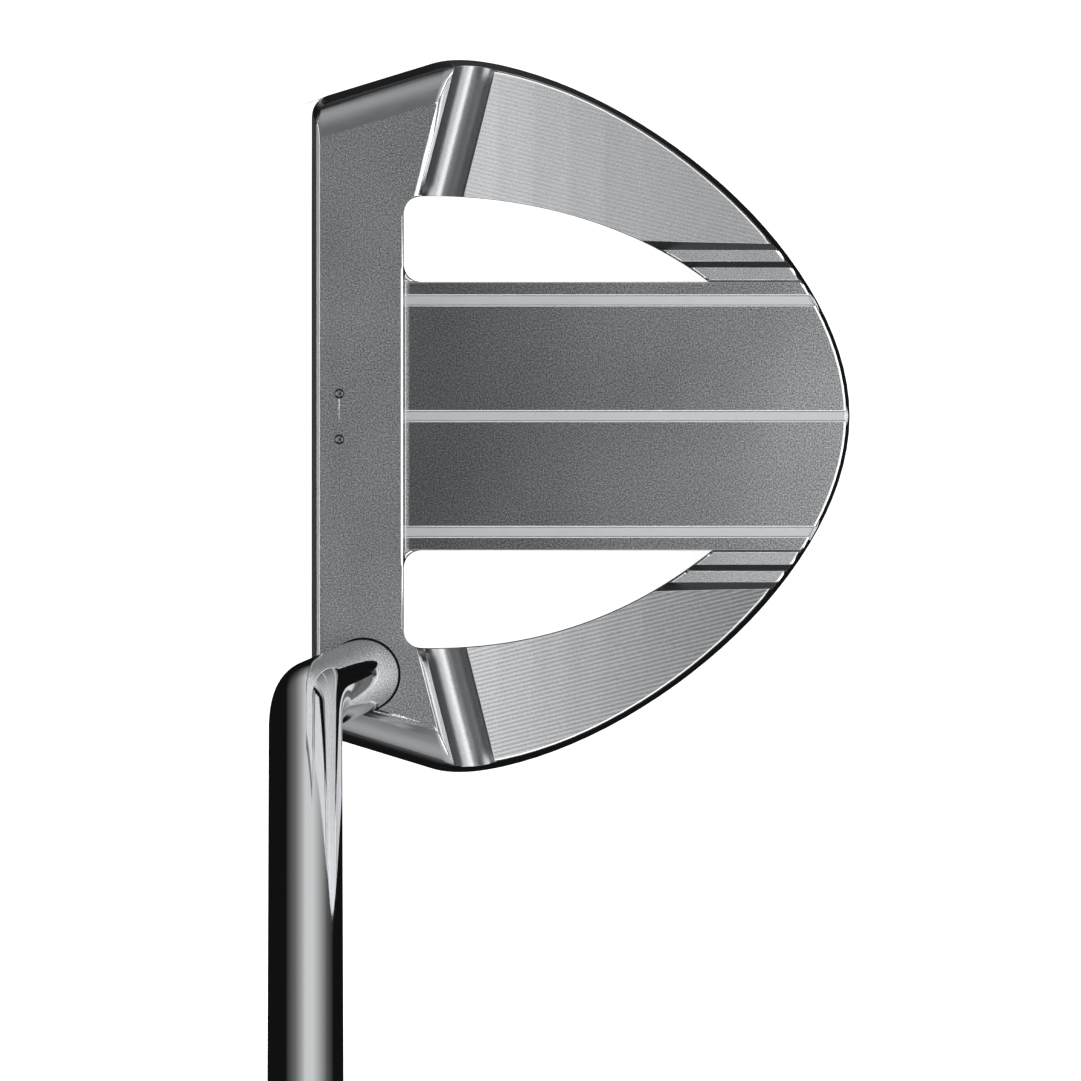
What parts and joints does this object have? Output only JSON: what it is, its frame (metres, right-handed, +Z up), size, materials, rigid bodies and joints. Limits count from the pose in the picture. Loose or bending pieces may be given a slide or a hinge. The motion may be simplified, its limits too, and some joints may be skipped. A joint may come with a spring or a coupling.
{
  "type": "mallet putter",
  "caption": "Right-handed half-moon mallet putter: milled steel head with windows and alignment lines, single-bend steel shaft, pistol grip.",
  "frame": {"origin": "on the ground plane, on the flat of the sole, under the middle of the head (half way between face and back, half way between heel and toe)", "axes": "+X from the face to the back of the head, +Y from heel to toe, +Z up; the putter is soled at address with its shaft at a 70 degree lie leaning to -Y"},
  "size_m": [0.0853, 0.3618, 0.8158],
  "materials": {
    "milled_steel": "milled and fine bead-blasted stainless steel with bright broken edges",
    "line_enamel": "pale grey satin paint fill",
    "shaft_chrome": "polished chrome plating on steel tube",
    "cork": "cut cork",
    "epoxy": "cured dark epoxy",
    "grip_tape": "double-sided paper tape",
    "grip_rubber": "matt moulded rubber with fine texture",
    "cap_rubber": "smooth hard rubber"
  },
  "bodies": {
    "root": {"head": "milled_steel", "alignment_line_toe": "line_enamel", "alignment_line_centre": "line_enamel", "alignment_line_heel": "line_enamel", "shaft": "shaft_chrome", "shaft_tip_plug": "cork", "shaft_epoxy": "epoxy", "grip_tape": "grip_tape", "grip": "grip_rubber", "grip_cap": "cap_rubber"}
  },
  "joints": []
}
